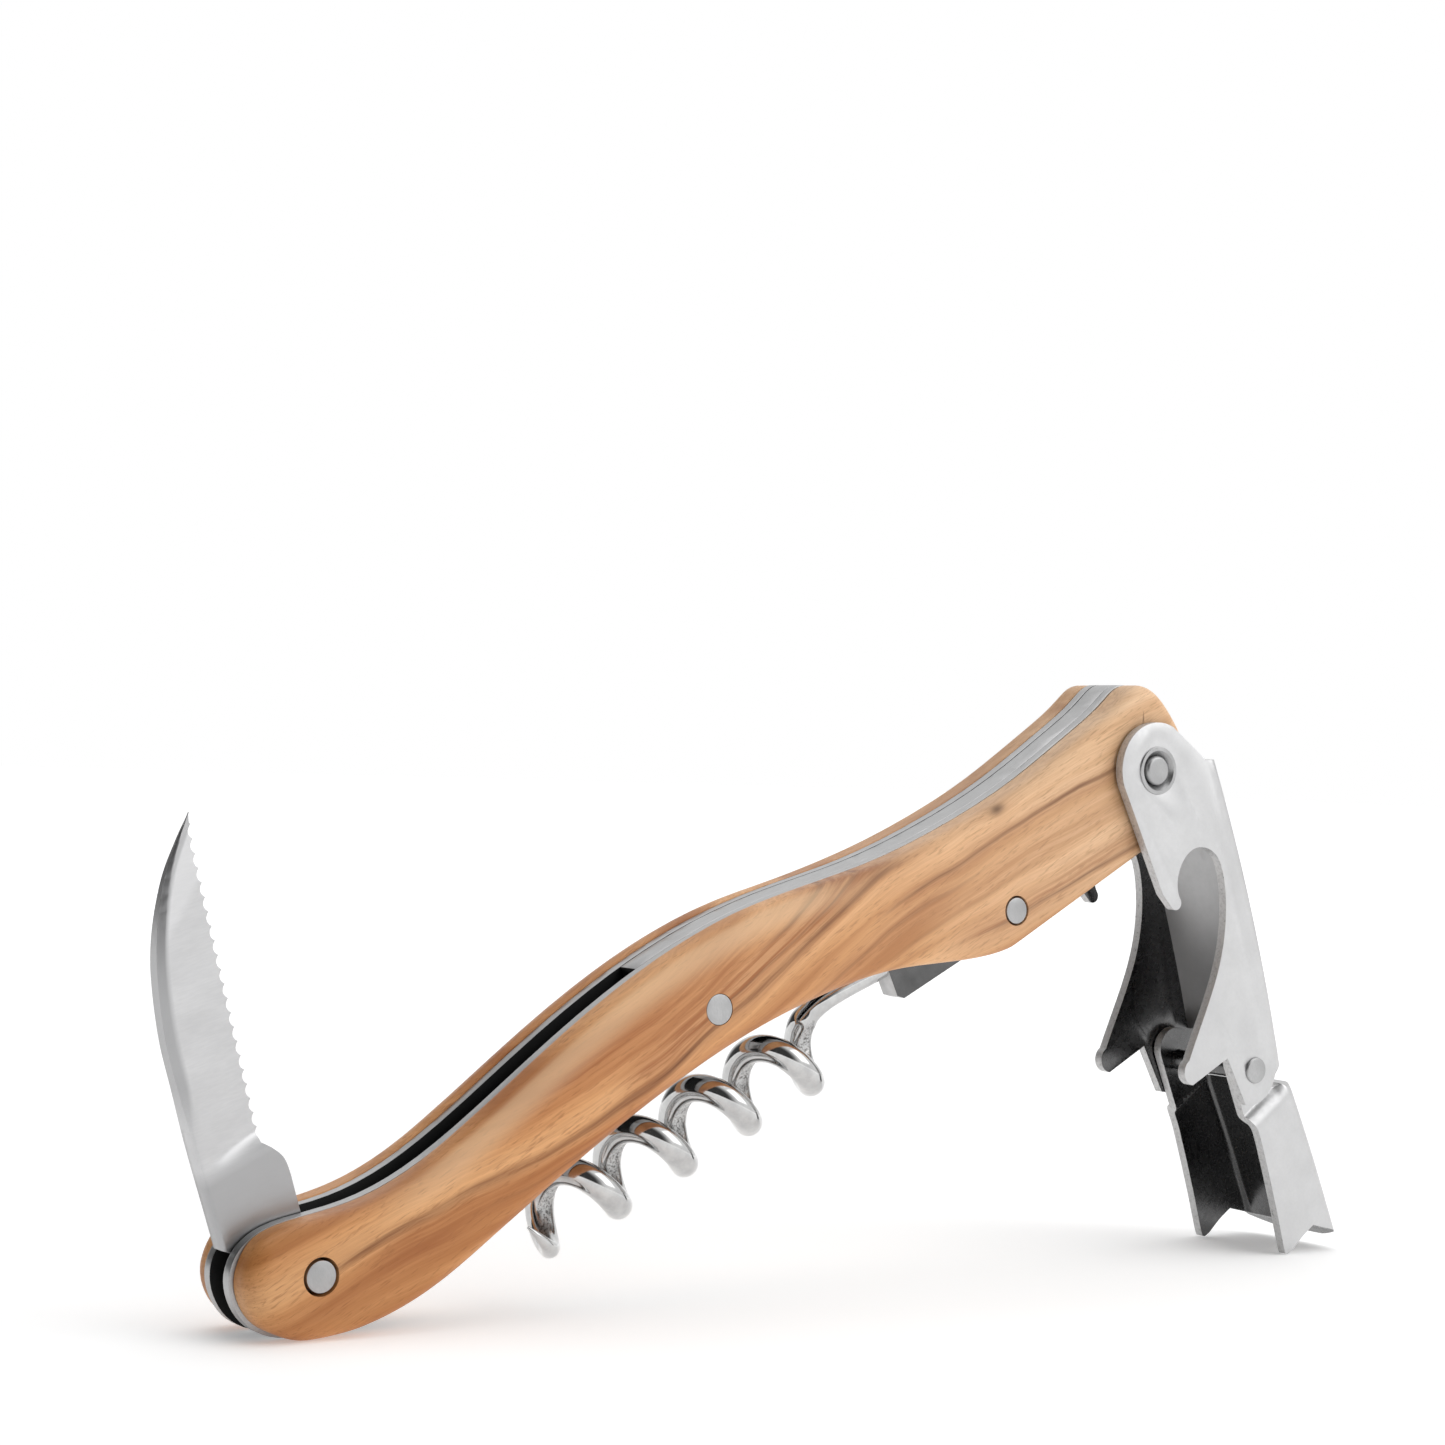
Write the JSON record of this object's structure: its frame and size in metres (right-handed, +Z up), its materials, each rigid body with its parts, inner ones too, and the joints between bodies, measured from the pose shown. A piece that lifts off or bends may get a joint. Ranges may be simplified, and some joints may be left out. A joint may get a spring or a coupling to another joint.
{
  "type": "waiters corkscrew",
  "caption": "Folding waiter's corkscrew with olive-wood scales, steel liners, serrated foil knife, open wire worm and a two-step bottle lever that also has a cap opener hook.",
  "frame": {"origin": "Middle of the bounding box on the surface that the tool stands on: the handle's left end and the lever's teeth touch z = 0.", "axes": "+X runs along the tool from the knife's end to the lever's end, -Y is the front face, +Z is up. All pivots turn about Y."},
  "size_m": [0.1356, 0.0142, 0.0594],
  "materials": {
    "olive_wood": "oiled olive wood with brown streaks",
    "satin_steel": "satin",
    "lever_steel": "bead-blasted satin",
    "blade_steel": "ground satin",
    "pin_steel": "satin",
    "worm_steel": "polished wire with a pitted groove on the inner side"
  },
  "bodies": {
    "handle": {"front_scale": "olive_wood", "back_scale": "olive_wood", "front_liner": "satin_steel", "back_liner": "satin_steel", "front_scale_pins": "satin_steel", "back_scale_pins": "satin_steel", "knife_pivot_pin": "pin_steel", "middle_pin": "pin_steel", "worm_pivot_pin": "pin_steel", "lever_pivot_pin": "pin_steel", "lever_pivot_spacer": "satin_steel", "front_lever_washer": "satin_steel", "back_lever_washer": "satin_steel"},
    "backspring": {"backspring": "satin_steel"},
    "knife": {"knife_blade": "blade_steel"},
    "worm": {"worm": "worm_steel"},
    "upper_lever": {"upper_lever": "lever_steel", "front_lever_collar": "lever_steel", "back_lever_collar": "lever_steel", "elbow_pin": "pin_steel"},
    "lower_lever": {"lower_lever": "lever_steel"}
  },
  "joints": [
    {"name": "knife_fold", "type": "hinge", "parent": "handle", "child": "knife", "pos_m": [-0.05331, 0, 0.00561], "axis": [0, 1, 0], "range_deg": [-100, 78]},
    {"name": "worm_fold", "type": "hinge", "parent": "handle", "child": "worm", "pos_m": [0.02213, 0, 0.0364], "axis": [0, 1, 0], "range_deg": [-90, 0]},
    {"name": "lever_swing", "type": "hinge", "parent": "handle", "child": "upper_lever", "pos_m": [0.03918, 0, 0.05072], "axis": [0, 1, 0], "range_deg": [-65, 72]},
    {"name": "lever_step", "type": "hinge", "parent": "upper_lever", "child": "lower_lever", "pos_m": [0.05428, 0, 0.01969], "axis": [0, 1, 0], "range_deg": [-50, 20]},
    {"name": "backspring_flex", "type": "hinge", "parent": "handle", "child": "backspring", "pos_m": [-0.01329, 0, 0.02735], "axis": [0, 1, 0], "range_deg": [-1.5, 0], "stiffness_Nm_per_rad": 2, "springref_deg": 2.86}
  ]
}
